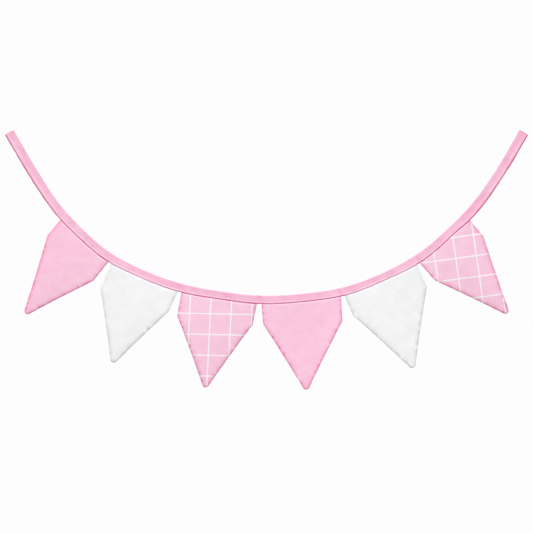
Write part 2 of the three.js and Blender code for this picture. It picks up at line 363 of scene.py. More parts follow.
def woven_cotton(name, tints, check=None):
    """Cotton deeper at seams and with painted shade, paler with painted highlights and dim with painted
    shade, with a check if asked.
    """
    material = bpy.data.materials.new(name)
    material.use_nodes = True
    tree = material.node_tree
    tree.nodes.clear()
    flat = add_node(tree, "ShaderNodeUVMap", uv_map=CLOTH_UV).outputs["UV"]

    # Over-and-under relief of the weave, and the threads' own unevenness
    axes = add_node(tree, "ShaderNodeSeparateXYZ", {0: flat})
    waves = []
    for axis in ("X", "Y"):
        turn = add_node(tree, "ShaderNodeMath", {0: axes.outputs[axis], 1: math.tau / THREAD_SPACING},
                        operation="MULTIPLY")
        waves.append(add_node(tree, "ShaderNodeMath", {0: turn.outputs[0]}, operation="SINE").outputs[0])
    weave = add_node(tree, "ShaderNodeMath", {0: waves[0], 1: waves[1]}, operation="MULTIPLY").outputs[0]
    slubs = []
    for stretch in ((1 / SLUB_LENGTH, 1 / THREAD_SPACING, 1), (1 / THREAD_SPACING, 1 / SLUB_LENGTH, 1)):
        place = add_node(tree, "ShaderNodeMapping", {"Vector": flat, "Scale": stretch})
        slubs.append(add_node(tree, "ShaderNodeTexNoise", {"Vector": place.outputs[0], "Scale": 1.0,
                                                           "Detail": 2.0}).outputs[0])
    slub = add_node(tree, "ShaderNodeMath", {0: slubs[0], 1: slubs[1]}, operation="ADD").outputs[0]

    # Cloudy unevenness of the dye
    cloud = add_node(tree, "ShaderNodeTexNoise", {"Vector": flat, "Scale": 1 / CLOUD_SIZE, "Detail": 3.0,
                                                  "Roughness": 0.6}).outputs[0]
    cloudy = add_node(tree, "ShaderNodeMapRange", {"Value": cloud, "From Min": 0.3, "From Max": 0.7,
                                                   "To Min": 0.0, "To Max": CLOUD_SHARE}).outputs[0]
    colour = add_node(tree, "ShaderNodeMix", {6: tints.ground, 7: tints.pale, 0: cloudy},
                      data_type="RGBA").outputs[2]

    # Thick stretches of a thread are a touch deeper
    thready = add_node(tree, "ShaderNodeMapRange", {"Value": slub, "From Min": 0.7, "From Max": 1.3,
                                                    "To Min": 0.0, "To Max": SLUB_SHARE}).outputs[0]
    colour = add_node(tree, "ShaderNodeMix", {6: colour, 7: tints.deep, 0: thready},
                      data_type="RGBA").outputs[2]

    # Shares of the other colours, as laid out on each piece: paler with painted highlights, deeper at seams
    # and with painted shade, dim with painted shade
    lightened, pressed, folded = (add_node(tree, "ShaderNodeAttribute", attribute_name=layer).outputs["Fac"]
                             for layer in (LIGHT, SHADE, DIM))
    for share, tint in ((lightened, tints.pale), (pressed, tints.deep), (folded, tints.dim)):
        colour = add_node(tree, "ShaderNodeMix", {6: colour, 7: tint, 0: share}, data_type="RGBA").outputs[2]
    if check:
        colour = add_check(tree, colour, check, pressed)

    height = add_node(tree, "ShaderNodeMath", {0: slub, 1: SLUB_HEIGHT, 2: weave}, operation="MULTIPLY_ADD")
    bump = add_node(tree, "ShaderNodeBump", {"Height": height.outputs[0], "Strength": 0.35,
                                             "Distance": 0.1 * MM})
    cotton = add_node(tree, "ShaderNodeBsdfPrincipled", {
        "Base Color": colour, "Roughness": 0.88, "IOR": 1.5, "Specular IOR Level": 0.2,
        "Sheen Weight": 0.12, "Sheen Roughness": 0.55, "Normal": bump.outputs[0]})
    add_node(tree, "ShaderNodeOutputMaterial", {"Surface": cotton.outputs[0]})
    return material


def add_check(tree, ground, check, pressed):
    """Windowpane check over a ground colour: white threads woven in at even steps, greyed by seam layers and
    painted shade.
    """
    line = add_node(tree, "ShaderNodeMix", {6: check.white, 7: check.grey, 0: pressed},
                    data_type="RGBA").outputs[2]
    steps = add_node(tree, "ShaderNodeUVMap", uv_map=CHECK_UV).outputs["UV"]
    axes = add_node(tree, "ShaderNodeSeparateXYZ", {0: steps})
    fade_start, fade_end = (check.share * part for part in CHECK_FADE)
    lines = []
    for axis in ("X", "Y"):
        saw = add_node(tree, "ShaderNodeMath", {0: axes.outputs[axis], 1: 0.5}, operation="PINGPONG")
        lines.append(add_node(tree, "ShaderNodeMapRange", {
            "Value": saw.outputs[0], "From Min": fade_start, "From Max": fade_end,
            "To Min": 1.0, "To Max": 0.0}).outputs[0])
    both = add_node(tree, "ShaderNodeMath", {0: lines[0], 1: lines[1]}, operation="MAXIMUM").outputs[0]
    cover = add_node(tree, "ShaderNodeMath", {0: both, 1: CHECK_COVER}, operation="MULTIPLY").outputs[0]
    return add_node(tree, "ShaderNodeMix", {6: ground, 7: line, 0: cover}, data_type="RGBA").outputs[2]


def cloth_object(name, points, faces, uv_maps, shares, material):
    """Smooth mesh object from points in millimetres, with its UV maps and its shares at each point."""
    mesh = bpy.data.meshes.new(name)
    mesh.from_pydata((points * MM).tolist(), [], [face for group in faces for face in group.tolist()])
    corners = np.empty(len(mesh.loops), np.int32)
    mesh.loops.foreach_get("vertex_index", corners)
    for uv_name, flat in uv_maps.items():
        layer = mesh.uv_layers.new(name=uv_name)
        layer.data.foreach_set("uv", flat[corners].astype(np.float32).ravel())
    for share_name, share in shares.items():
        layer = mesh.attributes.new(share_name, "FLOAT", "POINT")
        layer.data.foreach_set("value", np.clip(share, 0, 1).astype(np.float32))
    mesh.materials.append(material)
    mesh.shade_smooth()
    made = bpy.data.objects.new(name, mesh)
    bpy.context.scene.collection.objects.link(made)
    return made


def loft_faces(rings, count):
    """Quads between rings of points that match one to one, closed round each ring."""
    first = np.arange(rings - 1)[:, None] * count
    here = np.arange(count)
    after = (here + 1) % count
    quads = [first + here, first + count + here, first + count + after, first + after]
    return np.stack(quads, axis=-1).reshape(-1, 4)


def strip_caps(rings, count):
    """Quads that close the two ends of a lofted strip whose ring goes out along one face and back."""
    half = count // 2
    here = np.arange(half - 1)
    start = np.stack([here, here + 1, count - 2 - here, count - 1 - here], axis=-1)
    return np.vstack([start, start[:, ::-1] + (rings - 1) * count])


# Sewn tape. The strip's raw edges are turned in to about half the width, so the lower half is twice as
# thick. Its slot takes a flag's raw top with a little air, and is almost closed where the tape is bare.
BARE_HALF_GAP = 0.06
FLAG_TOP_HALF = 0.45
SLOT_CLEARANCE = 0.08
SLOT_CLOSING = (0.3, 4.0)
BARE_STEP = (0, 5)
TURN_SHARE = 0.47
STITCH_RISE = 3.0

# How far the cloth stands off the slot: the single layer, the double one, the stitched groove and the
# rolled lower edge, which has a value over a flag and one where the tape is bare
SINGLE_STAND = 0.44
DOUBLE_STAND = 0.24
GROOVE_STAND = 0.1
ROLL_STAND = (0.16, 0.6)

# The double layer swells a little on the way from the step to the groove, at a share of that way over a flag
# and another where the tape is bare
DOUBLE_SWELL = 0.03
SWELL_PLACE = (0.5, 0.22)

# Slight unevenness of the width, of the two layers and of the turned-in edge
WIDTH_WAVERS = (Waver(0.3, 34, 21), Waver(0.12, 9, 22))
SINGLE_WAVER = Waver(0.08, 28, 31)
DOUBLE_WAVERS = (Waver(0.12, 17, 41), Waver(0.06, 6, 51))
TURN_WAVER = Waver(0.35, 40, 61)

# Rows of a leaf's section, from the fold down. The fold: a drop and a share of the single layer's depth.
# The single layer: a share of the width and a swell. The step at the turned-in edge: a drop from that edge
# and a share of the way out to the double layer.
FOLD_ROWS = ((0.2, 0.0), (0.34, 0.45), (0.66, 0.8), (1.25, 1.0))
SINGLE_ROWS = ((0.14, 0.03), (0.22, 0.02))
STEP_ROWS = ((-2.4, 0.06), (-1.0, 0.34), (0.4, 0.74), (1.8, 1.0))

# Rows near the lower edge, each with a rise over it at a flag and one where the tape is bare. The groove
# adds a share of its depth, and the roll a share of the way round to the inside at a flag and one where it
# is bare.
GROOVE_ROWS = ((4.4, 4.4, 0.0), (3.6, 3.6, 0.6), (STITCH_RISE, STITCH_RISE, 1.0), (2.4, 2.6, 0.3))
ROLL_ROWS = ((1.7, 2.2, 0.0, 0.0), (0.9, 1.35, 0.12, 0.3), (0.4, 0.65, 0.4, 0.6), (0.22, 0.22, 0.66, 0.84))

# Rows of the turned-in edge: a rise over the lower edge and a way off the slot, then a share of the width,
# and last the raw edge, which ends a little below the step
INSIDE_ROWS = ((0.36, 0.06), (0.9, 0.0), (3.0, 0.0))
INSIDE_SHARE = 0.76
RAW_EDGE_DROP = 0.7

# Place of the stitched groove among the rows, with the swell of the double layer before it
GROOVE_POINT = len(FOLD_ROWS) + len(SINGLE_ROWS) + len(STEP_ROWS) + 3

# The two ends are cut straight, with corners rounded at the lower edge and less at the fold, and have closer
# sections
END_ROUND = 0.9
END_FADE = 3.0
END_SECTIONS = (0.3, 0.6, 0.9, 1.2, 1.8)
LOWER_CORNER = (0.72, 1.0)
FOLD_CORNER = (-0.2, 0.0)
FOLD_CORNER_SHARE = 0.7


def beyond_flags(along):
    """Length along the tape from the nearest flag, below zero over a flag."""
    return np.min([np.maximum(flag.start - along, along - flag.end) for flag in FLAGS], axis=0)


def tape_half_gap(along):
    """Half of the space between the leaves: a flag's raw top with a little air, or nearly closed."""
    return blend(FLAG_TOP_HALF + SLOT_CLEARANCE, BARE_HALF_GAP, smooth(beyond_flags(along), *SLOT_CLOSING))


def tape_half_section(along, side, cloth):
    """Middle of the cloth from the fold down one leaf, round its lower edge and up to the raw edge inside.

    Gives drops and depths, a row for each length along the tape. side is 0 for the front, 1 for the back.
    """
    width = TAPE.value("width", along) + sum(uneven(waver, along) for waver in WIDTH_WAVERS)
    inner = tape_half_gap(along) + cloth / 2
    single = inner + SINGLE_STAND + uneven(SINGLE_WAVER, along, shift=side)
    double = inner + cloth + DOUBLE_STAND + sum(uneven(waver, along, shift=side) for waver in DOUBLE_WAVERS)
    groove = inner + cloth + GROOVE_STAND
    turn = width * TURN_SHARE + uneven(TURN_WAVER, along, shift=side)
    bare = smooth(beyond_flags(along), *BARE_STEP)
    roll = double + blend(*ROLL_STAND, bare)
    rows = [(drop + 0 * width, share * single) for drop, share in FOLD_ROWS]
    rows += [(share * width, single + swell) for share, swell in SINGLE_ROWS]
    rows += [(turn + drop, blend(single, double, share)) for drop, share in STEP_ROWS]
    step_end, groove_start = turn + STEP_ROWS[-1][0], width - GROOVE_ROWS[0][0]
    rows.append((blend(step_end, groove_start, blend(*SWELL_PLACE, bare)), double + DOUBLE_SWELL))
    for at_flag, at_bare, share in GROOVE_ROWS:
        rows.append((width - blend(at_flag, at_bare, bare), blend(double, groove, share)))
    for at_flag, at_bare, flag_share, bare_share in ROLL_ROWS:
        round_share = blend(flag_share, bare_share, bare)
        rows.append((width - blend(at_flag, at_bare, bare), blend(roll, inner, round_share)))
    rows += [(width - rise, inner + off) for rise, off in INSIDE_ROWS]
    rows += [(INSIDE_SHARE * width, inner), (turn + RAW_EDGE_DROP, inner)]
    return np.moveaxis(np.array(rows), 2, 0)


def tape_points(cloth, step):
    """Rings of the tape's thick cloth, with the length along it and the place across the strip."""
    even = np.linspace(0, TAPE.length, int(round(TAPE.length / step)) + 1)
    close = np.array(END_SECTIONS)
    along = np.unique(np.concatenate([even, close, TAPE.length - close]))
    front, back = (tape_half_section(along, side, cloth) for side in (0, 1))
    path = np.concatenate([front[:, ::-1] * (1, -1), back[:, 1:]], axis=1)
    run = np.gradient(path, axis=1)
    run /= np.linalg.norm(run, axis=2)[:, :, None]
    aside = np.stack([-run[:, :, 1], run[:, :, 0]], axis=-1) * cloth / 2
    ring = np.concatenate([path + aside, (path - aside)[:, ::-1]], axis=1)
    steps = np.linalg.norm(np.diff(path, axis=1), axis=2)
    across = np.concatenate([np.zeros((len(along), 1)), np.cumsum(steps, axis=1)], axis=1)
    across = np.concatenate([across, across[:, ::-1]], axis=1)
    drop, depth = ring[:, :, 0], ring[:, :, 1]
    lengths = np.repeat(along[:, None], ring.shape[1], axis=1)
    fallen = drop / TAPE.value("width", lengths)
    corners = smooth(fallen, *LOWER_CORNER) ** 2 + FOLD_CORNER_SHARE * smooth(-fallen, *FOLD_CORNER) ** 2
    near_left, near_right = (np.exp(-end / END_FADE) for end in (lengths, TAPE.length - lengths))
    laid = lengths + END_ROUND * corners * (near_left - near_right)
    return TAPE.place(laid, drop, depth), lengths, across, drop


# Share of rose at the tape's lower edge, painted shade under its rolled lip: over each flag, on the two bare
# arms and at the gaps between flags
SEAM_DEPTHS = {
    "flag_1": 0.88, "flag_2": 0.26, "flag_3": 0.84, "flag_4": 0.66, "flag_5": 0.24, "flag_6": 0.84,
    "left_arm": 0.92, "right_arm": 1.15, "gap": 1.0,
}
SEAM_FADE = 4

# A bare arm sets in softly past the outer flags. The painted shade along the lower edge fades between two
# distances from it, each with a value over a flag and one on an arm. A deep edge reaches further up, its
# shade is patchy and it is lighter on its outermost rim, the edge's underside.
ARM_STEP = (8, 30)
EDGE_START = (1.1, 1.5)
EDGE_END = (2.0, 3.5)
DEEP_REACH = 0.85
EDGE_SHADE = 0.93
PATCHY_SHADE = 0.15
EDGE_WAVER = Waver(0.17, 34, 76)
PATCHES = Waver(0.5, 16, 71)
RIM_SHADE_EASE = 0.6
RIM_EASE_STEP = (0.1, 0.9)

# Plum on that edge, painted shade that darkens it further, which sets in at these distances from the middle
# of the tape
EDGE_DIM = 0.13
DIM_STEP = (270, 300)

# Rose above that edge: streaks and clouds of uneven dye, a tint over the single cloth, painted shade on the
# ridge of a bare arm, in the dents where two flags meet and at the gaps between them, painted shade on the
# fold's top, which faces the light, and a darker line along the two cut ends
INSIDE_STEP = (2.5, 5)
STREAKS = Waver(0.015, 4.5, 73)
STREAK_STRETCH = 6
CLOUDS = Waver(0.04, 24, 77)
CLOUD_STRETCH = 0.7
UPPER_TINT = 0.03
UPPER_STEP = (0.36, 0.52)
UPPER_EVEN = 0.6
UPPER_WAVER = Waver(0.4, 30, 72)
RIDGE_LINE = Line(0.08, 8.8, 1.6)
DENT_SHARE = 0.18
DENT_REACH = 12
DENTS = Waver(1, 13, 75)
DENT_STRETCH = 0.6
DENT_STEP = (-0.1, 1.3)
GAP_SHARE = 0.2
GAP_STEP = (0, 2.5)
GAP_EDGE = (1.6, 3.4)
FOLD_SHARE = 0.12
FOLD_STEP = (0.3, 1.8)
LEFT_END_SHARE = 0.4
RIGHT_END_SHARE = 0.8
END_STEP = (0.6, 1.8)

# Blush above that edge: a narrow painted highlight over the flags and a broad paler band on the bare arms
LIGHT_LINE = Line(1.3, 3.25, 0.95)
LIGHT_EVEN = 0.55
LIGHT_PATCHY = 0.45
ARM_LIGHT = 0.48
ARM_LIGHT_START = (2.4, 3.4)
ARM_LIGHT_END = (7.7, 8.5)
ARM_EVEN = 0.72
ARM_PATCHY = 0.16
ARM_WAVER = Waver(0.2, 55, 78)


def seam_depth(along):
    """How deep the painted shade at the tape's lower edge is: most where it is bare, least over a white
    flag.
    """
    depth = np.full(np.shape(along), SEAM_DEPTHS["gap"])
    arms = (("left_arm", 0, FLAGS[0].start), ("right_arm", FLAGS[-1].end, TAPE.length))
    for name, start, end in (*arms, *((flag.name, flag.start, flag.end) for flag in FLAGS)):
        after_start = smooth(along, start - SEAM_FADE, start + SEAM_FADE)
        before_end = smooth(-along, -end - SEAM_FADE, SEAM_FADE - end)
        depth = blend(depth, SEAM_DEPTHS[name], after_start * before_end)
    return depth


class BUNTING_OT_binding_tape(bpy.types.Operator):
    """Sew the long tape: a strip with turned-in edges, folded over the tops of the flags"""

    bl_idname = "bunting.binding_tape"
    bl_label = "Binding Tape"

    def execute(self, context):
        sizes, colours = context.scene.bunting_sizes, context.scene.bunting_colours
        points, lengths, across, drop = tape_points(sizes.cloth / MM, sizes.tape_step / MM)
        rings, count = lengths.shape
        uv_maps = {CLOTH_UV: np.stack([lengths, across], axis=-1).reshape(-1, 2)}
        tints = Tints(colours.tape, colours.blush, colours.rose, colours.plum)
        faces = [loft_faces(rings, count), strip_caps(rings, count)]
        tape = cloth_object(
            "binding_tape_cloth", points.reshape(-1, 3), faces, uv_maps,
            self.dye_seams_and_painted_shading(lengths, drop), woven_cotton("woven_cotton_binding", tints))
        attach(tape, BODY)
        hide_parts("binding_tape")
        return {"FINISHED"}

    @staticmethod
    def dye_seams_and_painted_shading(lengths, drop):
        """Shares of rose, blush and plum: painted shade at the lower edge, a painted highlight over it,
        streaks and painted shade in dents.
        """
        width = TAPE.value("width", lengths)
        from_edge = width - drop
        beyond = beyond_flags(lengths)
        arm = smooth(beyond, *ARM_STEP)
        inside = smooth(from_edge, *INSIDE_STEP)
        patchy = 0.5 + uneven(PATCHES, lengths)

        # Painted shade along the lower edge, deepened with plum on the outer parts
        depth = seam_depth(lengths)
        edge_end = blend(EDGE_END[0] + DEEP_REACH * depth**2, EDGE_END[1], arm)
        edge = 1 - smooth(from_edge, blend(*EDGE_START, arm), edge_end)
        edge *= EDGE_SHADE + PATCHY_SHADE * (patchy - 0.5) + uneven(EDGE_WAVER, lengths)
        rose = depth * edge * blend(RIM_SHADE_EASE, 1, smooth(from_edge, *RIM_EASE_STEP))
        plum = EDGE_DIM * edge * smooth(np.abs(lengths - TAPE.length / 2), *DIM_STEP)

        # Painted shade set against how the light falls along the tape, streaks and clouds of dye and a tint
        # over the single cloth
        rose += TAPE.value("tone", lengths)
        rose += inside * uneven(STREAKS, lengths / STREAK_STRETCH, drop)
        rose += inside * uneven(CLOUDS, lengths, CLOUD_STRETCH * drop)
        upper = 1 - smooth(drop / width, *UPPER_STEP)
        rose += UPPER_TINT * upper * (UPPER_EVEN + uneven(UPPER_WAVER, lengths, drop))
        # Painted shade on a bare arm's ridge, in dents, at the gaps and on the fold's top, and a darker line
        # at the cut ends
        rose += arm * soft_line(RIDGE_LINE, from_edge)
        joint = np.exp(-(beyond / DENT_REACH) ** 2) * (1 - arm)
        dents = smooth(uneven(DENTS, lengths, DENT_STRETCH * drop), *DENT_STEP)
        rose += DENT_SHARE * joint * inside * dents
        gap = smooth(beyond, *GAP_STEP) * (1 - arm)
        rose += GAP_SHARE * gap * (1 - smooth(from_edge, *GAP_EDGE))
        rose += FOLD_SHARE * (1 - smooth(drop, *FOLD_STEP))
        rose += LEFT_END_SHARE * (1 - smooth(lengths, *END_STEP))
        rose += RIGHT_END_SHARE * (1 - smooth(TAPE.length - lengths, *END_STEP))

        # A painted highlight over the flags and a paler band on the bare arms
        narrow = soft_line(LIGHT_LINE, from_edge) * (LIGHT_EVEN + LIGHT_PATCHY * patchy)
        broad = smooth(from_edge, *ARM_LIGHT_START) * (1 - smooth(from_edge, *ARM_LIGHT_END))
        broad *= ARM_LIGHT * (ARM_EVEN + ARM_PATCHY * patchy + uneven(ARM_WAVER, lengths))
        return {SHADE: rose.ravel(), LIGHT: blend(narrow, broad, arm).ravel(), DIM: plum.ravel()}


def flag_edge(flag, side, half):
    """One side of a flag from its top corner to the tip, with x along the top and y down."""
    drop, flare = (flag.left_drop, flag.left_flare) if side < 0 else (flag.right_drop, flag.right_flare)
    top = np.array([side * half, 0.0])
    shoulder = np.array([side * (half + flare), drop])
    centre = np.array([flag.tip_shift, flag.tip_drop - TIP_RADIUS])
    arm = shoulder - centre
    touch_angle = math.atan2(arm[1], arm[0]) + side * math.acos(TIP_RADIUS / np.linalg.norm(arm))
    bottom = math.pi / 2 if side > 0 else -1.5 * math.pi
    angles = blend(touch_angle, bottom, np.linspace(0, TIP_END, TIP_ROWS + 1)[:, None])
    tip = centre + TIP_RADIUS * np.hstack([np.cos(angles), np.sin(angles)])
    above, below = (shoulder + (end - shoulder) / np.linalg.norm(end - shoulder) * SHOULDER_ROUND
                    for end in (top, tip[0]))
    upper = blend(top, above, np.linspace(0, 1, UPPER_ROWS, endpoint=False)[:, None])
    share = np.linspace(0, 1, SHOULDER_ROWS, endpoint=False)[:, None]
    corner = above * (1 - share) ** 2 + 2 * shoulder * share * (1 - share) + below * share**2
    share = np.linspace(0, 1, TAPER_ROWS, endpoint=False)[:, None]
    run = (tip[0] - below) / np.linalg.norm(tip[0] - below)
    inward = side * np.array([-run[1], run[0]])
    taper = blend(below, tip[0], share) + inward * TAPER_DRAW * bulge(share)
    return np.vstack([upper, corner, taper, tip])


# Slight waver of a hand-turned seam, which fades near the tape and near the tip
SEAM_WAVERS = (Waver(0.14, 26, 0), Waver(0.08, 9, 1))
WAVER_FROM_TAPE = (0, 10)
WAVER_FROM_TIP = (0, 8)


def hand_cut(edge, seed):
    """The same edge with the slight waver of a hand-turned seam."""
    run = np.gradient(edge, axis=0)
    run /= np.linalg.norm(run, axis=1)[:, None]
    length = np.concatenate([[0], np.cumsum(np.linalg.norm(np.diff(edge, axis=0), axis=1))])
    aside = sum(uneven(waver, length, shift=seed) for waver in SEAM_WAVERS)
    aside *= smooth(length, *WAVER_FROM_TAPE) * smooth(length[-1] - length, *WAVER_FROM_TIP)
    return edge + np.stack([-run[:, 1], run[:, 0]], axis=-1) * aside[:, None]


def seam_distance(points, edge):
    """Distance from each point to an edge, and the length along the edge of the nearest place on it."""
    start, step = edge[:-1], np.diff(edge, axis=0)
    spans = np.linalg.norm(step, axis=1)
    before = np.concatenate([[0], np.cumsum(spans)[:-1]])
    offset = points[:, None, :] - start
    share = np.clip((offset * step).sum(axis=2) / spans**2, 0, 1)
    gap = np.linalg.norm(offset - share[:, :, None] * step, axis=2)
    nearest = gap.argmin(axis=1)
    rows = np.arange(len(points))
    return gap[rows, nearest], before[nearest] + share[rows, nearest] * spans[nearest]


# Columns beside an edge take up to this share of a row. Lengths along the right edge are counted from far
# past the left one, so that the two edges pucker on their own.
EDGE_ZONE = 0.36
RIGHT_EDGE_START = 500

# How the cloth hangs: unevenness of the whole flag and of its edges, how far down the tape holds it flat,
# how far a pucker runs in and how fast the tape's bend fades
RUMPLES = Waver(1, 52, 10)
GATHERS = Waver(0.4, 34, 11)
PUCKERS = Waver(1, 12, 12)
HELD_STEP = (0, 22)
PUCKER_REACH = 4.5
BEND_FADE = 3

# How full the cloth is: the share that the rolled edge gives, how far in the rest fills up, slight lumps,
# the dent of the pressed seam and the thin raw top
ROLL_SHARE = 0.78
FILL_STEP = (0, 7.5)
LUMPS = Waver(0.06, 19, 13)
LUMP_STEP = (0, 6)
SEAM_DENT = Line(0.2, 5.4, 1.3)
TOP_ROLL = 0.8
TOP_STEP = (0, 2.6)


class FlagShape:
    """The points of one flag: flat places, depth and half thickness, in rows from the tape to the tip."""

    def __init__(self, flag, sizes, seed):
        self.flag, self.seed = flag, seed
        self.start, self.end, self.middle = (self.on_tape(share, 0, 0) for share in (0.0, 1.0, 0.5))
        chord = (self.end - self.start)[[0, 2]]
        self.top_width = np.linalg.norm(chord)
        self.right = chord / self.top_width
        self.down = np.array([self.right[1], -self.right[0]])
        self.top_centre = (self.start + self.end)[[0, 2]] / 2
        self.edges = [hand_cut(flag_edge(flag, side, self.top_width / 2), seed + side) for side in (-1, 1)]
        self.lay_flat()
        self.hang(sizes)

    def on_tape(self, across, rise, depth):
        """Points inside the tape or at its lower edge."""
        along = blend(self.flag.start, self.flag.end, np.asarray(across, float))
        return TAPE.place(along, TAPE.value("width", along) - rise, depth)

    def lay_flat(self):
        """Flat places of the columns in each row, denser beside the edges."""
        left, right = self.edges
        widths = np.linalg.norm(right - left, axis=1)
        zone = np.minimum(EDGE_COLUMNS[-1], EDGE_ZONE * widths)[:, None]
        near = np.array(EDGE_COLUMNS) / EDGE_COLUMNS[-1] * zone
        inner = blend(zone, widths[:, None] - zone, np.linspace(0, 1, INNER_COLUMNS + 2)[1:-1])
        offsets = np.hstack([0 * zone, near, inner, widths[:, None] - near[:, ::-1], widths[:, None]])
        self.across = offsets / widths[:, None]
        self.flat = left[:, None] + (right - left)[:, None] * self.across[:, :, None]
        rows, columns = self.across.shape
        places = self.flat.reshape(-1, 2)
        found = [seam_distance(places, edge) for edge in self.edges]
        nearer = found[0][0] <= found[1][0]
        self.seam = np.where(nearer, found[0][0], found[1][0]).reshape(rows, columns)
        along_seam = np.where(nearer, found[0][1], found[1][1] + RIGHT_EDGE_START)
        self.along_seam = along_seam.reshape(rows, columns)
        self.seam[:, [0, -1]] = 0

    def hang(self, sizes):
        """Depth of the middle of the flag and its half thickness."""
        flag, u, v = self.flag, self.flat[:, :, 0], self.flat[:, :, 1]
        self.fallen = np.clip(v / flag.tip_drop, 0, 1)
        on_tape = self.on_tape(self.across, 0, 0)
        belly = bulge(self.fallen)
        depth = blend(on_tape[:, :, 1], self.middle[1], self.fallen) + flag.swing * self.fallen
        depth += flag.cup * belly * bulge(self.across)
        depth += flag.curl * belly * (self.across - 0.5)
        free = smooth(v, *HELD_STEP)
        depth += free * sizes.rumple / MM * uneven(RUMPLES, u, v, self.seed)
        self.gather = np.clip(0.5 + uneven(GATHERS, self.along_seam, shift=self.seed), 0, 1)
        self.pucker = uneven(PUCKERS, self.along_seam, shift=self.seed)
        reach = np.exp(-self.seam / PUCKER_REACH)
        depth += free * sizes.pucker / MM * self.pucker * self.gather * reach
        filled = blend(smooth(self.seam, *FILL_STEP), rounded(self.seam, sizes.edge_roll / MM), ROLL_SHARE)
        full = sizes.puff / MM * filled
        full -= soft_line(SEAM_DENT, self.seam) * (0.5 + 0.5 * self.gather)
        full += uneven(LUMPS, u, v, self.seed) * smooth(self.seam, *LUMP_STEP)
        half = blend(FLAG_TOP_HALF * rounded(self.seam, TOP_ROLL), full, smooth(v, *TOP_STEP))
        place = self.top_centre + u[:, :, None] * self.right + v[:, :, None] * self.down
        bend = on_tape - blend(self.start, self.end, self.across[:, :, None])
        place = place + bend[:, :, [0, 2]] * ((1 - self.fallen) ** BEND_FADE)[:, :, None]
        self.place, self.depth, self.half = place, depth, half

    def rings(self):
        """Rings of points across the flag: the front from left to right, then the back."""
        slot_across = np.tile(self.across[0], (len(SLOT_RISES), 1))
        rises = np.array(SLOT_RISES, float)[:, None]
        slot_half = np.tile(self.half[0], (len(SLOT_RISES), 1))
        faces = []
        for side in (-1, 1):
            slot = self.on_tape(slot_across, rises, side * slot_half)
            depth = self.depth + side * self.half
            free = np.stack([self.place[:, :, 0], depth, self.place[:, :, 1]], axis=-1)
            faces.append(np.vstack([slot, free]))
        return self.once(faces[0], faces[1])

    def spread(self, free, slot):
        """A value at each point of the rings from its rows below the tape and its rows inside it."""
        both = np.vstack([slot, free])
        return self.once(both, both)

    @staticmethod
    def once(front, back):
        """One ring from two faces that share their outer columns."""
        return np.concatenate([front, back[:, -2:0:-1]], axis=1)


def flag_caps(rings, columns, count):
    """Quads and triangles that close a flag's raw top and the end of its tip."""
    here = np.arange(1, columns - 2)
    quads = np.stack([here, here + 1, count - here - 1, count - here], axis=-1)
    corners = np.array([[0, 1, count - 1], [columns - 2, columns - 1, columns]])
    last = (rings - 1) * count
    return [quads, quads[:, ::-1] + last, corners, corners[:, ::-1] + last]


def check_steps(points, check, sizes):
    """Steps of the check at each point, whole where a line runs."""
    x, z = points[:, 0] - check.cross_x, points[:, 2] - check.cross_z
    rise, lean = math.radians(check.rise), math.radians(check.lean)
    across = (x * math.cos(lean) + z * math.sin(lean)) * MM / sizes.check_across
    down = (x * math.sin(rise) - z * math.cos(rise)) * MM / sizes.check_down
    return np.stack([across, down], axis=-1)


# Rims of the flags, by cloth: share of the deeper colour in the broad pressed band and in the thin turned
# edge, where seam layers show and painted shade lies on the rolled edge, and share of the paler one close
# under the tape, a painted highlight
Rim = namedtuple("Rim", "band edge under_tape")
RIMS = {
    "plain_pink": Rim(0.43, 0.32, 0.42),
    "pink_check": Rim(0.43, 0.32, 0.25),
    "white_cotton": Rim(0.38, 0.05, 0.0),
}

# The band is fainter above the shoulders than below, painted shade that is deeper on the tapers, which face
# down. Band and edge end at these distances from the seam, and both are patchy. The paler lines lie inside
# the band, where the seam gathers, and under the tape, where it is a painted highlight.
SHOULDER_STEP = (30, 56)
BAND_STRENGTH = (0.8, 1.1)
BAND_STEP = (0.5, 8.8)
EDGE_STEP = (0.8, 3.0)
BAND_EVEN = 0.72
BAND_PATCHY = 0.6
EDGE_EVEN = 0.6
EDGE_PATCHY = 0.4
GATHERED_LINE = Line(0.25, 3.9, 0.9)
UNDER_TAPE_LINE = Line(1.0, 1.9, 0.7)

# Broad painted shade and light on a flag, set against how the light falls on its hang: share of the deeper
# colour at its tip and at its right edge, against the left. Below zero it is paler there, and takes three
# times that share of the paler colour. The last two shares are those of the dim colour there, painted shade
# too.
Tone = namedtuple("Tone", "tip right dim_tip dim_right", defaults=(0.0, 0.0))
TONES = {
    "flag_1": Tone(-0.02, -0.04),
    "flag_2": Tone(0.05, 0.0),
    "flag_3": Tone(0.05, 0.0),
    "flag_4": Tone(0.012, 0.0, dim_tip=0.045),
    "flag_5": Tone(-0.04, 0.0),
    "flag_6": Tone(0.02, 0.0, dim_right=0.06),
}
PALER = 3
DIM_RIGHT_STEP = (0.6, 1.0)

# Cloth turned in at the two sides and the tip, and the distance between the seeds of two flags
SIDE_SEAM = 7.0
SEED_STEP = 100


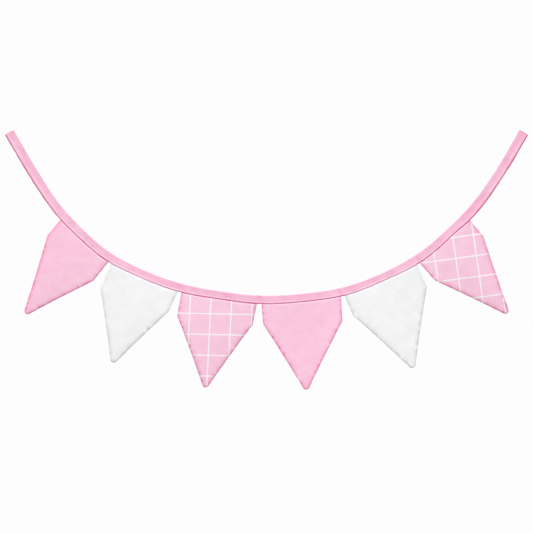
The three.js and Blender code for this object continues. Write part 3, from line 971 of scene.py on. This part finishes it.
class BUNTING_OT_flags(bpy.types.Operator):
    """Sew the flags: two layers turned right side out, pressed, with their raw tops in the tape"""

    bl_idname = "bunting.flags"
    bl_label = "Flags"

    def execute(self, context):
        sizes, colours = context.scene.bunting_sizes, context.scene.bunting_colours
        pinks = (colours.blush, colours.rose, colours.plum)
        whites = (colours.studio, colours.grey, colours.grey)
        check = Windowpane(colours.line, colours.grey, sizes.check_line / sizes.check_across)
        cloths = {
            "plain_pink": woven_cotton("woven_cotton_pink", Tints(colours.pink, *pinks)),
            "white_cotton": woven_cotton("woven_cotton_white", Tints(colours.white, *whites)),
            "pink_check": woven_cotton("woven_cotton_check", Tints(colours.check, *pinks), check),
        }
        for number, flag in enumerate(FLAGS, 1):
            self.sew(flag, SEED_STEP * number, sizes, cloths[flag.cloth])
        return {"FINISHED"}

    def sew(self, flag, seed, sizes, material):
        """One flag with its seams, attached to the body."""
        shape = FlagShape(flag, sizes, seed)
        points = shape.rings()
        rings, count = points.shape[:2]
        columns = shape.across.shape[1]
        rises = -np.array(SLOT_RISES, float)[:, None]
        slot_u = np.tile(shape.flat[0, :, 0], (len(SLOT_RISES), 1))
        flat_u = shape.spread(shape.flat[:, :, 0], slot_u)
        flat_v = shape.spread(shape.flat[:, :, 1], np.broadcast_to(rises, slot_u.shape))
        uv_maps = {CLOTH_UV: np.stack([flat_u, flat_v], axis=-1).reshape(-1, 2)}
        places = points.reshape(-1, 3)
        if flag.name in CHECKS:
            uv_maps[CHECK_UV] = check_steps(places, CHECKS[flag.name], sizes)
        none = np.zeros(slot_u.shape)
        shares = {layer: shape.spread(share, none).ravel() for layer, share in self.dye_seams_and_painted_shading(shape).items()}
        made = cloth_object(
            flag.name + "_cloth", places, [loft_faces(rings, count), *flag_caps(rings, columns, count)],
            uv_maps, shares, material)
        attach(made, BODY)
        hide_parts(flag.name)
        area = self.outline_area(shape) + shape.top_width * SEAM_ALLOWANCE
        area += SIDE_SEAM * sum(np.linalg.norm(np.diff(edge, axis=0), axis=1).sum() for edge in shape.edges)

    @staticmethod
    def dye_seams_and_painted_shading(shape):
        """Shares of the deeper, paler and dim colours below the tape: a pressed rim of seam layers and
        painted shade, painted highlights, and broad painted shade and light.
        """
        rim, tones, drop = RIMS[shape.flag.cloth], TONES[shape.flag.name], shape.flat[:, :, 1]
        # Deeper rim: seam layers, with painted shade of the rolled edge that is deeper on the tapers
        patchy = BAND_EVEN + BAND_PATCHY * shape.pucker * shape.gather
        strength = rim.band * blend(*BAND_STRENGTH, smooth(drop, *SHOULDER_STEP))
        deep = strength * (1 - smooth(shape.seam, *BAND_STEP)) * patchy
        deep += rim.edge * (1 - smooth(shape.seam, *EDGE_STEP)) * (EDGE_EVEN + EDGE_PATCHY * patchy)
        # Paler lines inside the band, and a painted highlight under the tape
        pale = soft_line(GATHERED_LINE, shape.seam) * shape.gather
        pale += rim.under_tape * soft_line(UNDER_TAPE_LINE, drop)
        # Broad painted shade and light, and painted dim shade at the tip and right edge
        tone = tones.tip * shape.fallen + tones.right * (2 * shape.across - 1)
        deep += np.maximum(tone, 0)
        pale += PALER * np.maximum(-tone, 0)
        dim = tones.dim_tip * shape.fallen + tones.dim_right * smooth(shape.across, *DIM_RIGHT_STEP)
        return {SHADE: deep, LIGHT: pale, DIM: dim}

    @staticmethod
    def outline_area(shape):
        """Area inside the flag's edges below the tape."""
        outline = np.vstack([shape.edges[0], shape.edges[1][::-1]])
        after = np.roll(outline, -1, axis=0)
        return abs((outline[:, 0] * after[:, 1] - outline[:, 1] * after[:, 0]).sum()) / 2


# Stitches: each is a bead of thread of slightly uneven size, whose middle stands off the cloth by a share of
# the thread's thickness. The two guide lines stop short of the tape's ends.
BEAD_SEGMENTS, BEAD_RINGS = 8, 6
SMALLEST, LARGEST = 0.9, 1.08
THREAD_SEED = 7
THREAD_STAND = 0.2
TWIST_LENGTH = 0.5
GUIDE_MARGIN = 4.0
GUIDE_STEP = 2.0

# Sections of the tape over which the width of its flat strip is averaged
CUT_SECTIONS = 60


def stitch_tree(material):
    """Geometry nodes that lay a stitch at each step along the lines they are given."""
    tree = bpy.data.node_groups.new("stitch_row", "GeometryNodeTree")
    tree.interface.new_socket("Lines", in_out="INPUT", socket_type="NodeSocketGeometry")
    for name in ("Pitch", "Length", "Thread"):
        tree.interface.new_socket(name, in_out="INPUT", socket_type="NodeSocketFloat")
    tree.interface.new_socket("Stitches", in_out="OUTPUT", socket_type="NodeSocketGeometry")
    given = add_node(tree, "NodeGroupInput").outputs
    line = add_node(tree, "GeometryNodeMeshToCurve", {"Mesh": given["Lines"]})
    steps = add_node(tree, "GeometryNodeResampleCurve", {
        "Curve": line.outputs[0], "Length": given["Pitch"]}, mode="LENGTH")
    tangent = add_node(tree, "GeometryNodeInputTangent")
    turn = add_node(tree, "FunctionNodeAlignRotationToVector", {"Vector": tangent.outputs[0]}, axis="Z")
    bead = add_node(tree, "GeometryNodeMeshUVSphere", {
        "Segments": BEAD_SEGMENTS, "Rings": BEAD_RINGS, "Radius": 0.5})
    size = add_node(tree, "ShaderNodeCombineXYZ", {
        "X": given["Thread"], "Y": given["Thread"], "Z": given["Length"]})
    vary = add_node(tree, "FunctionNodeRandomValue", {2: SMALLEST, 3: LARGEST, "Seed": THREAD_SEED},
                    data_type="FLOAT")
    scale = add_node(tree, "ShaderNodeVectorMath", {0: size.outputs[0], "Scale": vary.outputs[1]},
                     operation="SCALE")
    laid = add_node(tree, "GeometryNodeInstanceOnPoints", {
        "Points": steps.outputs[0], "Instance": bead.outputs[0], "Rotation": turn.outputs[0],
        "Scale": scale.outputs[0]})
    real = add_node(tree, "GeometryNodeRealizeInstances", {0: laid.outputs[0]})
    soft = add_node(tree, "GeometryNodeSetShadeSmooth", {0: real.outputs[0]})
    dressed = add_node(tree, "GeometryNodeSetMaterial", {"Geometry": soft.outputs[0], "Material": material})
    add_node(tree, "NodeGroupOutput", {0: dressed.outputs[0]})
    return tree


def spun_thread(name, colour, deep):
    """Spun polyester sewing thread: matt, with a fine twist round it."""
    material = bpy.data.materials.new(name)
    material.use_nodes = True
    tree = material.node_tree
    tree.nodes.clear()
    place = add_node(tree, "ShaderNodeTexCoord").outputs["Object"]
    twist = add_node(tree, "ShaderNodeTexNoise", {
        "Vector": place, "Scale": 1 / (TWIST_LENGTH * MM), "Detail": 1.0})
    tint = add_node(tree, "ShaderNodeMapRange", {"Value": twist.outputs[0], "To Min": 0.1, "To Max": 0.9})
    mixed = add_node(tree, "ShaderNodeMix", {6: colour, 7: deep, 0: tint.outputs[0]}, data_type="RGBA")
    thread = add_node(tree, "ShaderNodeBsdfPrincipled", {
        "Base Color": mixed.outputs[2], "Roughness": 0.7, "Sheen Weight": 0.1, "Specular IOR Level": 0.3})
    add_node(tree, "ShaderNodeOutputMaterial", {"Surface": thread.outputs[0]})
    return material


class BUNTING_OT_stitches(bpy.types.Operator):
    """Stitch the tape: one row of thread near the lower edge, on both faces"""

    bl_idname = "bunting.stitches"
    bl_label = "Stitches"

    def execute(self, context):
        sizes, colours = context.scene.bunting_sizes, context.scene.bunting_colours
        cloth, thread = sizes.cloth / MM, sizes.thread / MM
        along = np.arange(GUIDE_MARGIN, TAPE.length - GUIDE_MARGIN, GUIDE_STEP)
        lines, links = [], []
        for side, facing in ((0, -1), (1, 1)):
            drop, depth = tape_half_section(along, side, cloth)[:, GROOVE_POINT].T
            sits = depth + cloth / 2 + THREAD_STAND * thread
            links += [(i, i + 1) for i in range(len(lines), len(lines) + len(along) - 1)]
            lines += (TAPE.place(along, drop, facing * sits) * MM).tolist()
        mesh = bpy.data.meshes.new("tape_stitches")
        mesh.from_pydata(lines, links, [])
        made = bpy.data.objects.new("tape_stitches", mesh)
        context.scene.collection.objects.link(made)
        tree = stitch_tree(spun_thread("spun_thread_pink", colours.blush, colours.tape))
        rows = made.modifiers.new("stitch_row", "NODES")
        rows.node_group = tree
        values = {"Pitch": sizes.stitch_pitch, "Length": sizes.stitch_length, "Thread": sizes.thread}
        for socket in tree.interface.items_tree:
            if socket.name in values:
                rows[socket.identifier] = values[socket.name]
        ready = made.evaluated_get(context.evaluated_depsgraph_get())
        made.data = bpy.data.meshes.new_from_object(ready)
        made.modifiers.clear()
        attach(made, BODY)
        self.cut_width(cloth) * MM
        return {"FINISHED"}

    @staticmethod
    def cut_width(cloth):
        """Mean width of the flat strip, from the middle of the cloth at even steps along the tape."""
        leaf = tape_half_section(np.linspace(0, TAPE.length, CUT_SECTIONS), 0, cloth)
        return 2 * np.linalg.norm(np.diff(leaf, axis=1), axis=2).sum(axis=1).mean()


class BUNTING_OT_studio(bpy.types.Operator):
    """Set up the pale floor, the soft light and the camera"""

    bl_idname = "bunting.studio"
    bl_label = "Studio"
    floor_half = (1.3, 0.9)
    key_strength = 3.75
    key_turn = (math.radians(40), 0.0, math.radians(-5))
    back_strength = 3.2
    back_turn = (math.radians(-40), 0.0, math.radians(20))
    light_angle = math.radians(24)
    fill = 0.26

    def execute(self, context):
        scene = context.scene
        sizes, colours = scene.bunting_sizes, scene.bunting_colours
        self.lay_floor(scene, sizes, colours)
        self.light(scene, colours)
        camera = bpy.data.objects.new("camera", bpy.data.cameras.new("camera"))
        camera.data.lens = sizes.lens
        distance = sizes.view_width * sizes.lens / camera.data.sensor_width
        camera.location = (0, -distance, sizes.view_height)
        camera.rotation_euler = (math.pi / 2, 0, 0)
        scene.collection.objects.link(camera)
        scene.camera = camera
        scene.view_settings.view_transform = "Standard"
        return {"FINISHED"}

    def lay_floor(self, scene, sizes, colours):
        """A pale floor under the bunting, short enough to stay below the camera's view."""
        x, y = self.floor_half
        mesh = bpy.data.meshes.new("studio_floor")
        corners = [(a, b, sizes.floor_height) for a, b in ((-x, -y), (x, -y), (x, y), (-x, y))]
        mesh.from_pydata(corners, [], [(0, 1, 2, 3)])

        # Matt paint, which shows the light's soft fall and no highlight
        material = bpy.data.materials.new("matt_painted_floor")
        material.use_nodes = True
        paint = material.node_tree.nodes["Principled BSDF"]
        paint.inputs["Base Color"].default_value = colours.floor
        paint.inputs["Roughness"].default_value = 0.9
        mesh.materials.append(material)
        floor = bpy.data.objects.new("studio_floor", mesh)
        scene.collection.objects.link(floor)

    def light(self, scene, colours):
        """A broad key light, a weaker back light and a surround that the camera sees as white."""
        for name, strength, turn in (("key_light", self.key_strength, self.key_turn),
                                     ("back_light", self.back_strength, self.back_turn)):
            lamp = bpy.data.objects.new(name, bpy.data.lights.new(name, "SUN"))
            lamp.data.energy = strength
            lamp.data.angle = self.light_angle
            lamp.rotation_euler = turn
            scene.collection.objects.link(lamp)
        world = bpy.data.worlds.new("studio")
        world.use_nodes = True
        tree = world.node_tree
        tree.nodes.clear()
        path = add_node(tree, "ShaderNodeLightPath")
        soft = add_node(tree, "ShaderNodeBackground", {"Color": (1, 1, 1, 1), "Strength": self.fill})
        seen = add_node(tree, "ShaderNodeBackground", {"Color": colours.studio, "Strength": 1.0})
        both = add_node(tree, "ShaderNodeMixShader", {0: path.outputs["Is Camera Ray"], 1: soft.outputs[0],
                                                      2: seen.outputs[0]})
        add_node(tree, "ShaderNodeOutputWorld", {"Surface": both.outputs[0]})
        scene.world = world


class BUNTING_PT_sewing(bpy.types.Panel):
    """Steps of the making, in order"""

    bl_idname = "BUNTING_PT_sewing"
    bl_label = "Fabric Bunting"
    bl_space_type = "VIEW_3D"
    bl_region_type = "UI"
    bl_category = "Bunting"

    def draw(self, context):
        column = self.layout.column()
        for step in STEPS:
            column.operator(step.bl_idname)
        for group in (context.scene.bunting_sizes, context.scene.bunting_colours):
            for name in type(group).__annotations__:
                column.prop(group, name)


STEPS = (BUNTING_OT_studio, BUNTING_OT_binding_tape, BUNTING_OT_flags, BUNTING_OT_stitches)
CLASSES = (BuntingSizes, BuntingColours, *STEPS, BUNTING_PT_sewing)


def register():
    for made in CLASSES:
        bpy.utils.register_class(made)
    bpy.types.Scene.bunting_sizes = bpy.props.PointerProperty(type=BuntingSizes)
    bpy.types.Scene.bunting_colours = bpy.props.PointerProperty(type=BuntingColours)


def unregister():
    del bpy.types.Scene.bunting_colours
    del bpy.types.Scene.bunting_sizes
    for made in reversed(CLASSES):
        bpy.utils.unregister_class(made)


def main():
    register()
    bpy.ops.bunting.studio()
    bpy.ops.bunting.binding_tape()
    bpy.ops.bunting.flags()
    bpy.ops.bunting.stitches()
    bpy.context.view_layer.update()


if __name__ == "__main__":
    main()
